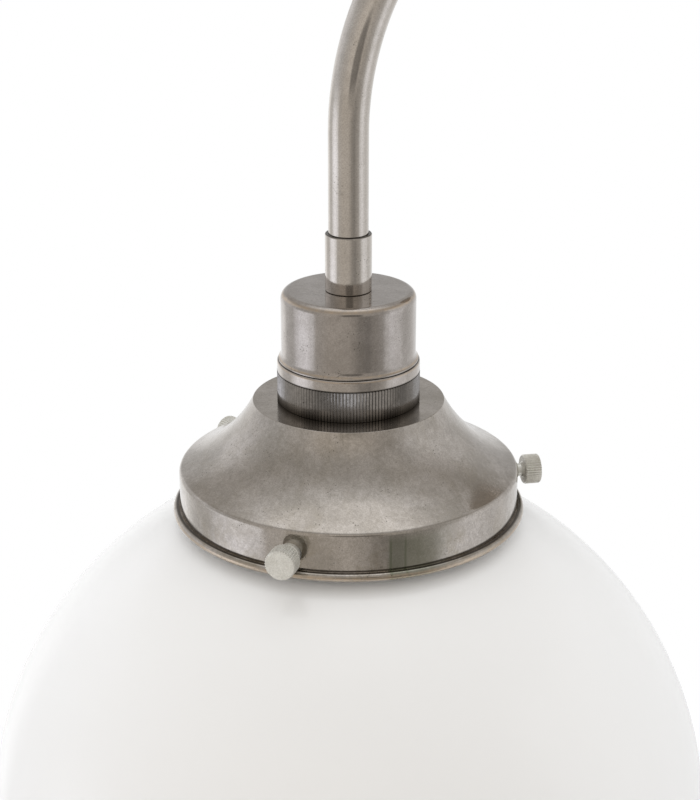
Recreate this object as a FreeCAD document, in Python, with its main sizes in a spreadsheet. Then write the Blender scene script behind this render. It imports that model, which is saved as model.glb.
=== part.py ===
"""Hanging wall light: a bent arm on a round wall rose carries a lampholder, a spun gallery and an opal globe.

Row frame, in millimetres: +Z is up, the wall is the plane y = 0 and the light stands out towards -Y.
The origin is the centre of the wall rose. The lamp's parts are drawn round the lamp's axis, with height 0
on top of the gallery's flat, and the wall's parts round the rose's axis, with height 0 on the wall.
"""
import FreeCAD, Part
import math
import os
from types import SimpleNamespace

import Sketcher
from FreeCAD import Placement, Rotation, Vector

# Driving dimensions, in millimetres, degrees and counts.
SIZES = {
    # Arm: a tube that leaves the wall level and bends down to the lamp.
    "arm_reach": 215.0,
    "arm_diameter": 12.0,
    "arm_wall": 1.2,
    "bend_radius": 68.0,
    "drop_straight": 30.0,
    # Collar at each end of the arm, on a hollow threaded nipple.
    "collar_diameter": 14.0,
    "collar_length": 17.5,
    "collar_rim": 0.6,
    "socket_depth": 10.0,
    "socket_gap": 0.05,
    "nipple_diameter": 10.0,
    "nipple_bore": 7.6,
    "nipple_tail": 2.2,
    "thread_gap": 0.05,
    "locknut_flats": 14.0,
    "locknut_height": 3.0,
    "washer_diameter": 18.0,
    "washer_height": 0.8,
    # Wall rose and the turned boss in front of it.
    "rose_diameter": 104.0,
    "rose_depth": 24.0,
    "rose_sheet": 1.2,
    "rose_edge": 5.0,
    "boss_diameter": 27.0,
    "boss_height": 5.0,
    "boss_edge": 1.6,
    "boss_cove": 2.4,
    # Bracket behind the rose.
    "bracket_sheet": 2.0,
    "bracket_width": 76.0,
    "bracket_height": 36.0,
    "ear_width": 16.0,
    "ear_height": 18.0,
    "ear_gap": 1.4,
    "fixing_spacing": 60.0,
    "fixing_slot_width": 5.2,
    "fixing_slot_length": 9.0,
    "cable_hole": 14.0,
    "cable_hole_drop": 9.5,
    "rose_screw_height": 12.0,
    "rose_screw_diameter": 4.0,
    "rose_screw_head": 7.0,
    "rose_screw_head_height": 2.4,
    "rose_screw_length": 8.0,
    "rose_screw_gap": 0.15,
    "screw_slot": 0.9,
    # Terminal block and earth screw on the bracket.
    "block_width": 26.0,
    "block_height": 13.0,
    "block_depth": 13.0,
    "block_lift": 11.5,
    "pole_spacing": 8.5,
    "pole_bore": 3.8,
    "pole_wall": 0.6,
    "pole_height": 6.0,
    "clamp_screw_diameter": 2.5,
    "clamp_screw_spacing": 6.4,
    "clamp_slot": 0.45,
    "clamp_slot_depth": 0.9,
    "earth_side": 20.0,
    "earth_drop": 11.5,
    "earth_screw_diameter": 4.0,
    "earth_head_diameter": 7.4,
    "earth_head_height": 2.4,
    "earth_washer_diameter": 9.0,
    "earth_washer_height": 1.0,
    # Lampholder: cap, threaded barrel and two shade rings.
    "cap_diameter": 40.7,
    "cap_height": 21.5,
    "cap_wall": 1.2,
    "cap_edge": 2.4,
    "cap_foot_diameter": 42.4,
    "cap_foot_height": 0.5,
    "cap_foot_flare": 1.9,
    "seam_gap": 0.05,
    "flange_diameter": 43.3,
    "flange_height": 3.45,
    "flange_edge": 0.6,
    "barrel_diameter": 39.5,
    "barrel_bore": 36.0,
    "barrel_drop": 23.5,
    "barrel_lip": 1.2,
    "barrel_lip_bore": 33.0,
    "spigot_height": 6.0,
    "ring_diameter": 43.4,
    "ring_height": 9.3,
    "ring_teeth": 136,
    "ring_tooth_depth": 0.34,
    "ring_gap": 0.1,
    "ring_clearance": 0.06,
    "lower_ring_height": 6.0,
    # Live parts inside the barrel.
    "insulator_clearance": 0.1,
    "insulator_height": 12.0,
    "contact_chamber": 20.0,
    "contact_chamber_top": 4.0,
    "thread_pitch": 3.62,
    "thread_turns": 4,
    "thread_mean_diameter": 25.2,
    "thread_round": 1.02,
    "thread_play": 0.18,
    "shell_sheet": 0.5,
    "shell_clearance": 0.25,
    "shell_top": 2.0,
    "shell_mouth": 1.0,
    "thread_top": 6.0,
    "live_post_side": 7.0,
    "neutral_post_side": 12.3,
    "post_stem_diameter": 2.4,
    "post_length": 6.0,
    "post_width": 7.0,
    "post_height": 5.0,
    "terminal_screw_head": 4.8,
    "terminal_screw_height": 1.6,
    "strip_sheet": 0.5,
    "strip_width": 6.0,
    "strip_reach": 9.2,
    "contact_gap": 0.3,
    # Gallery: flat top, hollow flare, upright band and rolled rim.
    "gallery_sheet": 1.0,
    "gallery_hole_gap": 0.25,
    "gallery_flat_diameter": 58.4,
    "flat_edge": 0.3,
    "flat_edge_reach": 0.132,
    "flat_edge_drop": 0.27,
    "flat_edge_round": 0.48,
    "flare_radius": 46.0,
    "shoulder_inset": 0.9,
    "shoulder_drop": 21.5,
    "shoulder_height": 1.45,
    "shoulder_round": 1.6,
    "band_diameter": 104.6,
    "bead_radius": 1.3,
    "bead_overhang": 0.8,
    "bead_drop": 34.9,
    # Thumb screws that hold the globe's lip, in threaded bushes.
    "screw_count": 3,
    "screw_azimuth": 56.55,
    "screw_drop": 28.7,
    "screw_diameter": 4.0,
    "screw_clearance": 0.08,
    "screw_face_radius": 61.4,
    "screw_head_diameter": 9.3,
    "screw_head_length": 5.1,
    "screw_head_edge": 0.35,
    "screw_head_teeth": 36,
    "screw_tooth_depth": 0.42,
    "screw_hub_diameter": 5.4,
    "screw_hub_length": 0.7,
    "screw_tip_gap": 0.3,
    "bush_diameter": 6.1,
    "bush_height": 2.0,
    "bush_edge": 0.6,
    "bush_spigot_diameter": 5.1,
    "bush_gap": 0.04,
    # Globe.
    "globe_diameter": 232.6,
    "globe_wall": 3.0,
    "neck_diameter": 96.4,
    "neck_foot_drop": 37.46,
    "lip_diameter": 100.4,
    "lip_height": 2.6,
    "lip_edge": 0.7,
    "lip_rest": 0.3,
    # Lamp bulb.
    "bulb_diameter": 60.0,
    "bulb_length": 110.9,
    "bulb_split_angle": 22.7,
    "bulb_wall": 1.2,
    "bulb_neck_diameter": 31.0,
    "bulb_neck_gap": 1.0,
    "bulb_flare_radius": 105.0,
    "bulb_cap_skirt": 3.4,
    "bulb_cap_bore": 21.6,
    "bulb_cap_shoulder": 1.8,
    "bulb_insulator_height": 3.8,
    "bulb_contact_diameter": 9.6,
    "bulb_contact_height": 1.3,
    "bulb_contact_top": 0.9,
    "board_thickness": 1.6,
    "board_drop": 60.0,
    "board_gap": 0.05,
}

document = FreeCAD.newDocument("wall_light")
sheet = document.addObject("Spreadsheet::Sheet", "Sizes")


class Size:
    """A dimension: its value in millimetres and the sheet formula that gives it."""

    def __init__(self, value, formula):
        self.value = value
        self.formula = formula

    def joined(self, sign, other, value):
        return Size(value, "(%s %s %s)" % (self.formula, sign, formula_of(other)))

    def __add__(self, other):
        return self.joined("+", other, self.value + value_of(other))

    def __sub__(self, other):
        return self.joined("-", other, self.value - value_of(other))

    def __mul__(self, other):
        return self.joined("*", other, self.value * value_of(other))

    def __truediv__(self, other):
        return self.joined("/", other, self.value / value_of(other))

    def __neg__(self):
        return Size(-self.value, "(0 - %s)" % self.formula)

    def __radd__(self, other):
        return as_size(other) + self

    def __rsub__(self, other):
        return as_size(other) - self

    def __rmul__(self, other):
        return as_size(other) * self


def value_of(item):
    return item.value if isinstance(item, Size) else float(item)


def formula_of(item):
    return item.formula if isinstance(item, Size) else repr(float(item))


def as_size(item):
    return item if isinstance(item, Size) else Size(float(item), repr(float(item)))


def root(item):
    return Size(math.sqrt(item.value), "sqrt(%s)" % item.formula)


def fill_sheet():
    """Write every driving dimension to the sheet, and return each one as a Size."""
    named = {}
    for row, (name, value) in enumerate(SIZES.items(), start=1):
        sheet.set("A%d" % row, name)
        sheet.set("B%d" % row, str(value))
        sheet.setAlias("B%d" % row, name)
        named[name] = Size(float(value), "Sizes." + name)
    document.recompute()
    return SimpleNamespace(**named)


s = fill_sheet()

# Heights along the wall's axis.
rose_front = s.rose_depth
boss_front = rose_front + s.boss_height
tube_start = boss_front + s.collar_length - s.socket_depth

# Heights along the lamp's axis, up from the gallery's flat.
ring_foot = s.ring_gap
ring_top = ring_foot + s.ring_height
flange_foot = ring_top + s.ring_gap
flange_top = flange_foot + s.flange_height
cap_foot = flange_top + s.seam_gap
cap_top = cap_foot + s.cap_height
collar_top = cap_top + s.collar_length
lamp_height = -(s.bend_radius + s.drop_straight + collar_top)
lip_foot = -s.screw_drop + s.screw_diameter / 2 + s.lip_rest
barrel_foot = -s.barrel_drop
insulator_foot = barrel_foot + s.barrel_lip + s.seam_gap
thread_length = s.thread_pitch * s.thread_turns
bulb_rim = -(s.thread_top + thread_length + s.bulb_cap_skirt)


def bind(item, name, size):
    """Set a property and tie it to the sheet."""
    item.setExpression(name, formula_of(size))


def seat(item, where, x=0.0, y=0.0, z=0.0, turn=None):
    """Place a sub-part: 'wall' turns its height outwards, 'lamp' stands it on the lamp's axis."""
    if where == "wall":
        base = (as_size(x), -as_size(z), as_size(y))
        rotation = Rotation(Vector(1, 0, 0), 90)
    elif where == "lamp":
        base = (as_size(x), as_size(y) - s.arm_reach, as_size(z) + lamp_height)
        rotation = turn or Rotation()
    else:
        base = (as_size(x), as_size(y), as_size(z))
        rotation = Rotation()
    item.Placement = Placement(Vector(*[part.value for part in base]), rotation)
    for letter, part in zip("xyz", base):
        bind(item, "Placement.Base." + letter, part)


def arc_centre(first, last, radius, side):
    """Centre of an arc between two corners; side is 1 with the centre on the left of the way along it."""
    across = last[0] - first[0]
    along = last[1] - first[1]
    span = across * across + along * along
    reach = root(radius * radius / span - 0.25) * side
    return ((first[0] + last[0]) / 2 - along * reach, (first[1] + last[1]) / 2 + across * reach)


class Outline:
    """A closed sketch outline of lines and arcs, with each corner and radius tied to the sheet."""

    def __init__(self, body, plane, name):
        self.sketch = body.newObject("Sketcher::SketchObject", name)
        features = body.Origin.OriginFeatures
        support = [feature for feature in features if feature.Role == plane][0]
        self.sketch.AttachmentSupport = [(support, "")]
        self.sketch.MapMode = "FlatFace"
        self.rules = []
        self.ties = []

    def rule(self, *words, tie=None):
        if tie is not None:
            self.ties.append((len(self.rules), tie))
            words = words + (tie.value,)
        self.rules.append(Sketcher.Constraint(*words))

    def pin(self, edge, end, x, y):
        """Hold one end of an edge at a place measured from the origin."""
        for kind, axis, part in (("DistanceX", -2, as_size(x)), ("DistanceY", -1, as_size(y))):
            if part.value == 0.0 and part.formula == "0.0":
                self.rule("PointOnObject", edge, end, axis)
            else:
                self.rule(kind, -1, 1, edge, end, tie=part)

    def trace(self, steps):
        """Draw a closed outline: a step is (x, y) for a line to there, or (x, y, radius, side) for an arc."""
        first_edge = self.sketch.GeometryCount
        corners = [(as_size(step[0]), as_size(step[1])) for step in steps]
        shapes = []
        ends = []
        for index, step in enumerate(steps):
            start = corners[index - 1]
            stop = corners[index]
            if len(step) == 2:
                shapes.append(Part.LineSegment(flat(start), flat(stop)))
                ends.append((1, 2))
                continue
            radius = as_size(step[2])
            centre = flat(arc_centre(start, stop, radius, step[3]))
            low, high = (start, stop) if step[3] > 0 else (stop, start)
            circle = Part.Circle(centre, Vector(0, 0, 1), radius.value)
            shapes.append(Part.ArcOfCircle(circle, angle_at(centre, low), angle_at(centre, high)))
            ends.append((1, 2) if step[3] > 0 else (2, 1))
        self.sketch.addGeometry(shapes, False)
        for index, step in enumerate(steps):
            edge = first_edge + index
            following = first_edge + (index + 1) % len(steps)
            self.rule("Coincident", edge, ends[index][1], following, ends[(index + 1) % len(steps)][0])
            self.pin(edge, ends[index][1], *corners[index])
            if len(step) > 2:
                self.rule("Radius", edge, tie=as_size(step[2]))
        return self

    def circle(self, x, y, radius):
        """Draw a full circle."""
        x, y, radius = as_size(x), as_size(y), as_size(radius)
        edge = self.sketch.GeometryCount
        self.sketch.addGeometry(Part.Circle(flat((x, y)), Vector(0, 0, 1), radius.value), False)
        self.pin(edge, 3, x, y)
        self.rule("Radius", edge, tie=radius)
        return self

    def box(self, x, y, width, height):
        """Draw a rectangle about a centre."""
        left, right = x - width / 2, x + width / 2
        low, high = y - height / 2, y + height / 2
        return self.trace([(left, low), (right, low), (right, high), (left, high)])

    def done(self):
        """Add the constraints and tie them to the sheet."""
        self.sketch.addConstraint(self.rules)
        for index, size in self.ties:
            self.sketch.setExpression("Constraints[%d]" % index, size.formula)
        return self.sketch


def flat(corner):
    return Vector(corner[0].value, corner[1].value, 0)


def angle_at(centre, corner):
    return math.atan2(corner[1].value - centre.y, corner[0].value - centre.x)


def new_body(label):
    body = document.addObject("PartDesign::Body", label)
    body.Label = label
    return body


def turn_outline(body, steps, name="Profile"):
    """Turn an outline of radius and height about the body's own upright axis."""
    sketch = Outline(body, "XZ_Plane", name).trace(steps).done()
    turned = body.newObject("PartDesign::Revolution", "Turned")
    turned.Profile = sketch
    turned.ReferenceAxis = (sketch, ["V_Axis"])
    turned.Angle = 360.0
    sketch.Visibility = False
    return turned


def turned_part(label, steps, where="lamp", z=0.0, turn=None):
    """One piece of turned, spun, blown or moulded round shape."""
    body = new_body(label)
    turn_outline(body, steps)
    seat(body, where, z=z, turn=turn)
    return body


def raise_pad(body, outline, height):
    pad = body.newObject("PartDesign::Pad", "Pad")
    pad.Profile = outline.done()
    bind(pad, "Length", height)
    return pad


def cut_pocket(body, outline, depth=None, reverse=False):
    """Cut an outline out of the body: to a depth, or right through both ways."""
    document.recompute()
    before = body.Shape.Volume
    pocket = body.newObject("PartDesign::Pocket", "Pocket")
    pocket.Profile = outline.done()
    pocket.Reversed = reverse
    if depth is None:
        pocket.Type = "ThroughAll"
        pocket.Midplane = True
    else:
        bind(pocket, "Length", depth)
    document.recompute()
    if not body.Shape.Volume < before:
        raise RuntimeError("a pocket in %s cuts nothing" % body.Label)
    return pocket


def feature(label, shape, where, x=0.0, y=0.0, z=0.0, turn=None):
    """One piece whose shape is worked out below from the sheet's values."""
    item = document.addObject("Part::Feature", label)
    item.Label = label
    item.Shape = shape
    seat(item, where, x, y, z, turn)
    return item


def ring_steps(outer, inner, height, low=0.0):
    """Outline of a plain ring."""
    low = as_size(low)
    return [(inner, low), (outer, low), (outer, low + height), (inner, low + height)]


def knurled_prism(radius, teeth, depth, height):
    """Upright prism with straight V teeth all round."""
    corners = []
    for tooth in range(int(teeth.value)):
        for half, reach in ((0.0, radius.value), (0.5, radius.value - depth.value)):
            turn = 2 * math.pi * (tooth + half) / teeth.value
            corners.append(Vector(reach * math.cos(turn), reach * math.sin(turn), 0))
    corners.append(corners[0])
    return Part.Face(Part.makePolygon(corners)).extrude(Vector(0, 0, height.value))


def slotted_screw(shank, head, head_height, length, slot):
    """Screw with a slotted cheese head: underside of the head at height 0, shank below."""
    solid = Part.makeCylinder(head.value / 2, head_height.value)
    solid = solid.fuse(Part.makeCylinder(shank.value / 2, length.value, Vector(0, 0, -length.value)))
    cutter = Part.makeBox(head.value + slot.value, slot.value, head_height.value)
    corner = Vector(-(head.value + slot.value) / 2, -slot.value / 2, head_height.value / 2)
    return solid.cut(cutter.translated(corner)).removeSplitter()


# Arm and what holds it.

def make_arm_tube():
    """Tube along a level run, a quarter bend and a drop into the lamp's collar."""
    body = new_body("arm_tube")
    run = s.arm_reach - s.bend_radius - tube_start
    drop = s.drop_straight + s.socket_depth
    corner = -(run + s.bend_radius)
    route = Outline(body, "YZ_Plane", "Route")
    bend = Part.Circle(Vector(-run.value, -s.bend_radius.value, 0), Vector(0, 0, 1), s.bend_radius.value)
    bend_end = (corner, -s.bend_radius)
    foot = (corner, -(s.bend_radius + drop))
    route.sketch.addGeometry([
        Part.LineSegment(Vector(0, 0, 0), Vector(-run.value, 0, 0)),
        Part.ArcOfCircle(bend, math.pi / 2, math.pi),
        Part.LineSegment(flat(bend_end), flat(foot)),
    ], False)
    route.rule("Coincident", 0, 1, -1, 1)
    route.rule("Coincident", 0, 2, 1, 1)
    route.rule("Coincident", 1, 2, 2, 1)
    route.pin(0, 2, -run, 0.0)
    route.pin(1, 2, *bend_end)
    route.rule("Radius", 1, tie=s.bend_radius)
    route.pin(2, 2, *foot)
    route.done()
    section = Outline(body, "XZ_Plane", "Section")
    section.circle(0.0, 0.0, s.arm_diameter / 2)
    section.circle(0.0, 0.0, s.arm_diameter / 2 - s.arm_wall)
    pipe = body.newObject("PartDesign::AdditivePipe", "Tube")
    pipe.Profile = section.done()
    pipe.Spine = (route.sketch, ["Edge1", "Edge2", "Edge3"])
    seat(body, "row", y=-tube_start)


def make_collar(label, where, z):
    """Collar: a threaded bore for the nipple below, a socket for the arm's tube above."""
    outer = s.collar_diameter / 2
    thread = s.nipple_diameter / 2 + s.thread_gap
    socket = s.arm_diameter / 2 + s.socket_gap
    floor = s.collar_length - s.socket_depth
    steps = [
        (thread, 0.0), (outer, 0.0), (outer, s.collar_length - s.collar_rim),
        (outer - s.collar_rim, s.collar_length, s.collar_rim, 1), (socket, s.collar_length),
        (socket, floor), (thread, floor),
    ]
    turned_part(label, steps, where, z)


def make_nipple(label, where, joint_height, through):
    """Hollow threaded stud from inside the collar, through a wall or two, to the locknut's tail."""
    top = s.collar_length - s.socket_depth - s.thread_gap
    foot = -(through + s.locknut_height + s.nipple_tail)
    steps = ring_steps(s.nipple_diameter / 2, s.nipple_bore / 2, top - foot, foot)
    turned_part(label, steps, where, joint_height)


def make_locknut(label, where, z):
    """Thin hexagon nut."""
    prism = document.addObject("Part::Prism", label + "_hexagon")
    prism.Polygon = 6
    bind(prism, "Circumradius", s.locknut_flats / root(as_size(3)))
    bind(prism, "Height", s.locknut_height)
    bore = document.addObject("Part::Cylinder", label + "_bore")
    bind(bore, "Radius", s.nipple_diameter / 2 + s.thread_gap)
    bind(bore, "Height", s.locknut_height)
    nut = document.addObject("Part::Cut", label)
    nut.Label = label
    nut.Base = prism
    nut.Tool = bore
    seat(nut, where, z=z)


def make_rose_washer():
    steps = ring_steps(s.washer_diameter / 2, s.nipple_diameter / 2 + s.thread_gap, s.washer_height)
    turned_part("rose_washer", steps, "wall", rose_front - s.rose_sheet - s.washer_height)


# Wall rose.

def bead_steps(wall, height, side):
    """Rolled rim on a wall of the given radius, from the wall's outside down and round to its inside."""
    centre = wall + s.bead_overhang
    rise = root(s.bead_radius * s.bead_radius - s.bead_overhang * s.bead_overhang)
    return [
        (wall, height + rise * side),
        (centre + s.bead_radius, height, s.bead_radius, -side),
        (centre, height - s.bead_radius * side, s.bead_radius, -side),
        (centre - s.bead_radius, height, s.bead_radius, -side),
    ]


def make_wall_rose():
    """Spun cup with a rounded front edge and a rolled rim on the wall."""
    outer = s.rose_diameter / 2
    inner = outer - s.rose_sheet
    hole = s.nipple_diameter / 2 + s.thread_gap
    bead = s.bead_radius
    body = new_body("wall_rose")
    turn_outline(body, [
        (hole, s.rose_depth), (outer - s.rose_edge, s.rose_depth),
        (outer, s.rose_depth - s.rose_edge, s.rose_edge, -1),
    ] + bead_steps(outer, bead, 1) + [
        (inner, bead), (inner, s.rose_depth - s.rose_edge),
        (outer - s.rose_edge, s.rose_depth - s.rose_sheet, s.rose_edge - s.rose_sheet, 1),
        (hole, s.rose_depth - s.rose_sheet),
    ])
    holes = Outline(body, "YZ_Plane", "ScrewHoles")
    holes.circle(0.0, s.rose_screw_height, s.rose_screw_diameter / 2 + s.rose_screw_gap)
    cut_pocket(body, holes)
    seat(body, "wall")


def make_rose_boss():
    """Turned boss between the rose and the arm's collar."""
    outer = s.boss_diameter / 2
    hole = s.nipple_diameter / 2 + s.thread_gap
    step = s.collar_diameter / 2 + s.boss_edge
    ledge = s.boss_height - s.boss_cove
    steps = [
        (hole, 0.0), (outer, 0.0), (outer, ledge - s.boss_edge),
        (outer - s.boss_edge, ledge, s.boss_edge, 1), (step + s.boss_cove, ledge),
        (step, s.boss_height, s.boss_cove, -1), (hole, s.boss_height),
    ]
    turned_part("rose_boss", steps, "wall", rose_front)


def make_wall_bracket():
    """Pressed bracket with two ears that the rose's side screws bite into."""
    body = new_body("wall_bracket")
    half = s.bracket_width / 2
    tall = s.bracket_height / 2
    ear = s.ear_width / 2
    reach = s.rose_diameter / 2 - s.rose_sheet - s.ear_gap
    plate = Outline(body, "XY_Plane", "Plate")
    plate.trace([
        (-half, -tall), (half, -tall), (half, -ear), (reach, -ear), (reach, ear), (half, ear),
        (half, tall), (-half, tall), (-half, ear), (-reach, ear), (-reach, -ear), (-half, -ear),
    ])
    plate.circle(0.0, -s.cable_hole_drop, s.cable_hole / 2)
    plate.circle(s.earth_side, -s.earth_drop, s.earth_screw_diameter / 2 + s.thread_gap)
    for side in (-1, 1):
        middle = s.fixing_spacing / 2 * side
        run = (s.fixing_slot_length - s.fixing_slot_width) / 2
        wide = s.fixing_slot_width / 2
        plate.trace([
            (middle + run, -wide), (middle + run + wide, 0.0, wide, 1), (middle + run, wide, wide, 1),
            (middle - run, wide), (middle - run - wide, 0.0, wide, 1), (middle - run, -wide, wide, 1),
        ])
    raise_pad(body, plate, s.bracket_sheet)
    ears = Outline(body, "XY_Plane", "Ears")
    for side in (-1, 1):
        ears.box((reach - s.bracket_sheet / 2) * side, as_size(0), s.bracket_sheet, s.ear_width)
    raise_pad(body, ears, s.ear_height)
    threads = Outline(body, "YZ_Plane", "EarThreads")
    threads.circle(0.0, s.rose_screw_height, s.rose_screw_diameter / 2 + s.thread_gap)
    cut_pocket(body, threads)
    seat(body, "wall")


def make_rose_screws():
    """Two screws through the sides of the rose into the bracket's ears."""
    solids = []
    for side in (-1, 1):
        screw = slotted_screw(s.rose_screw_diameter, s.rose_screw_head, s.rose_screw_head_height,
                              s.rose_screw_length, s.screw_slot)
        screw.Placement = Placement(Vector(side * s.rose_diameter.value / 2, 0, 0),
                                    Rotation(Vector(0, 1, 0), 90 * side))
        solids.append(screw)
    feature("rose_screws", Part.makeCompound(solids), "wall", z=s.rose_screw_height)


def make_terminal_block():
    """Moulded block with three poles, each a cross bore under two screw wells."""
    body = new_body("terminal_block")
    case = Outline(body, "XY_Plane", "Case").box(as_size(0), as_size(0), s.block_width, s.block_height)
    raise_pad(body, case, s.block_depth)
    bores = Outline(body, "XZ_Plane", "Poles")
    wells = Outline(body, "XY_Plane", "Wells")
    for pole in (-1, 0, 1):
        bores.circle(s.pole_spacing * pole, s.pole_height, s.pole_bore / 2 + s.thread_gap)
        for row in (-1, 1):
            wells.circle(s.pole_spacing * pole, s.clamp_screw_spacing / 2 * row,
                         s.clamp_screw_diameter / 2 + s.thread_gap)
    cut_pocket(body, bores)
    bind(wells.sketch, "AttachmentOffset.Base.z", s.pole_height)
    cut_pocket(body, wells, s.block_depth - s.pole_height, reverse=True)
    seat(body, "wall", y=s.block_lift, z=s.bracket_sheet)


def make_terminal_clamps():
    """Three brass pole tubes."""
    solids = []
    length = s.block_height - s.pole_wall * 2
    for pole in (-1, 0, 1):
        start = Vector(pole * s.pole_spacing.value, length.value / 2, s.pole_height.value)
        outer = Part.makeCylinder(s.pole_bore.value / 2, length.value, start, Vector(0, -1, 0))
        inner = Part.makeCylinder(s.pole_bore.value / 2 - s.pole_wall.value, length.value, start,
                                  Vector(0, -1, 0))
        solids.append(outer.cut(inner))
    feature("terminal_clamps", Part.makeCompound(solids), "wall", y=s.block_lift, z=s.bracket_sheet)


def make_clamp_screws():
    """Six headless screws that press on the poles."""
    solids = []
    radius = s.clamp_screw_diameter.value / 2
    foot = s.pole_height.value + s.pole_bore.value / 2
    height = s.block_depth.value - s.pole_wall.value - foot
    slot = s.clamp_slot.value
    depth = s.clamp_slot_depth.value
    reach = radius + slot
    for pole in (-1, 0, 1):
        for row in (-1, 1):
            place = Vector(pole * s.pole_spacing.value, row * s.clamp_screw_spacing.value / 2, foot)
            screw = Part.makeCylinder(radius, height, place)
            cutter = Part.makeBox(reach * 2, slot, depth, place + Vector(-reach, -slot / 2, height - depth))
            solids.append(screw.cut(cutter))
    feature("clamp_screws", Part.makeCompound(solids), "wall", y=s.block_lift, z=s.bracket_sheet)


def make_earth_screw():
    washer_top = s.bracket_sheet + s.earth_washer_height
    screw = slotted_screw(s.earth_screw_diameter, s.earth_head_diameter, s.earth_head_height,
                          washer_top - s.thread_gap, s.screw_slot)
    feature("earth_screw", screw, "wall", x=s.earth_side, y=-s.earth_drop, z=washer_top)
    body = new_body("earth_washer")
    turn_outline(body, ring_steps(s.earth_washer_diameter / 2,
                                  s.earth_screw_diameter / 2 + s.thread_gap, s.earth_washer_height))
    seat(body, "wall", x=s.earth_side, y=-s.earth_drop, z=s.bracket_sheet)


# Lampholder.

def make_holder_cap():
    """Closed cap with a rounded top edge and a slightly flared foot."""
    outer = s.cap_diameter / 2
    inner = outer - s.cap_wall
    foot = s.cap_foot_diameter / 2
    hole = s.nipple_diameter / 2 + s.thread_gap
    spread = foot - outer
    flare = (spread * spread + s.cap_foot_flare * s.cap_foot_flare) / (spread * 2)
    foot_top = cap_foot + s.cap_foot_height
    turned_part("holder_cap", [
        (hole, cap_top), (outer - s.cap_edge, cap_top),
        (outer, cap_top - s.cap_edge, s.cap_edge, -1), (outer, foot_top + s.cap_foot_flare),
        (foot, foot_top, flare, 1), (foot, cap_foot), (inner, cap_foot),
        (inner, cap_top - s.cap_edge),
        (outer - s.cap_edge, cap_top - s.cap_wall, s.cap_edge - s.cap_wall, 1),
        (hole, cap_top - s.cap_wall),
    ])


def make_holder_barrel():
    """Threaded barrel: a smooth flange under the cap, a spigot inside it and a lip under the insulator."""
    flange = s.flange_diameter / 2
    spigot = s.cap_diameter / 2 - s.cap_wall - s.thread_gap
    bore = s.barrel_bore / 2
    spigot_top = flange_top + s.spigot_height
    turned_part("holder_barrel", [
        (s.barrel_lip_bore / 2, barrel_foot), (s.barrel_diameter / 2, barrel_foot),
        (s.barrel_diameter / 2, flange_foot), (flange, flange_foot),
        (flange, flange_top - s.flange_edge),
        (flange - s.flange_edge, flange_top, s.flange_edge, 1),
        (spigot, flange_top), (spigot, spigot_top), (bore, spigot_top),
        (bore, barrel_foot + s.barrel_lip), (s.barrel_lip_bore / 2, barrel_foot + s.barrel_lip),
    ])


def make_shade_ring(label, height, z):
    """Knurled ring that runs on the barrel's thread."""
    inner = s.barrel_diameter.value / 2 + s.ring_clearance.value
    prism = knurled_prism(s.ring_diameter / 2, s.ring_teeth, s.ring_tooth_depth, height)
    feature(label, prism.cut(Part.makeCylinder(inner, height.value)), "lamp", z=z)


def thread_steps(mean, low, upward):
    """Rounded thread drawn as rings: one outward and one inward arc a turn, along the given radius."""
    steps = []
    half = s.thread_pitch / 2
    for index in range(2 * int(s.thread_turns.value)):
        stage = index + 1 if upward else 2 * int(s.thread_turns.value) - index - 1
        bulge = 1 if index % 2 == (0 if upward else 1) else -1
        steps.append((mean, low + half * stage, s.thread_round, bulge if upward else -bulge))
    return steps


def make_holder_insulator():
    """Ceramic body: a skirt round the screw shell, a contact chamber and a solid floor for the posts."""
    outer = s.barrel_bore / 2 - s.insulator_clearance
    bore = s.thread_mean_diameter / 2 + s.thread_play + s.shell_sheet * 2 + s.shell_clearance
    ledge = -s.shell_top + s.seam_gap
    chamber = s.contact_chamber / 2
    body = new_body("holder_insulator")
    turn_outline(body, [
        (bore, insulator_foot), (outer, insulator_foot), (outer, s.insulator_height),
        (0.0, s.insulator_height), (0.0, s.contact_chamber_top), (chamber, s.contact_chamber_top),
        (chamber, ledge), (bore, ledge),
    ])
    stems = Outline(body, "XY_Plane", "Stems")
    stems.circle(-s.live_post_side, 0.0, s.post_stem_diameter / 2 + s.thread_gap)
    stems.circle(s.neutral_post_side, 0.0, s.post_stem_diameter / 2 + s.thread_gap)
    cut_pocket(body, stems)
    seat(body, "lamp")


def make_screw_shell():
    """Screw shell for the bulb's cap, with an inward flange under the neutral post."""
    inner = s.thread_mean_diameter / 2 + s.thread_play
    outer = inner + s.shell_sheet
    low = -(s.thread_top + thread_length)
    top = -s.shell_top
    mouth = low - s.shell_mouth
    flange = s.contact_chamber / 2 + s.shell_sheet
    turned_part("screw_shell", [
        (inner, mouth), (outer, mouth), (outer, low),
    ] + thread_steps(outer, low, True) + [
        (outer, top), (flange, top), (flange, top - s.shell_sheet), (inner, top - s.shell_sheet),
        (inner, -s.thread_top),
    ] + thread_steps(inner, low, False))


def make_centre_contact():
    """Springy strip from the live post down to the middle of the bulb's cap."""
    body = new_body("centre_contact")
    top = s.contact_chamber_top
    rest = s.bulb_contact_top + s.contact_gap
    start = -s.strip_reach
    knee = -(s.live_post_side - s.post_stem_diameter)
    tip = s.bulb_contact_diameter / 2
    strip = Outline(body, "XZ_Plane", "Strip")
    strip.trace([
        (start, top - s.strip_sheet), (knee, top - s.strip_sheet),
        (0.0, rest), (tip, rest), (tip, rest + s.strip_sheet), (0.0, rest + s.strip_sheet),
        (knee, top), (start, top),
    ])
    pad = raise_pad(body, strip, s.strip_width)
    pad.Midplane = True
    seat(body, "lamp")


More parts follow.
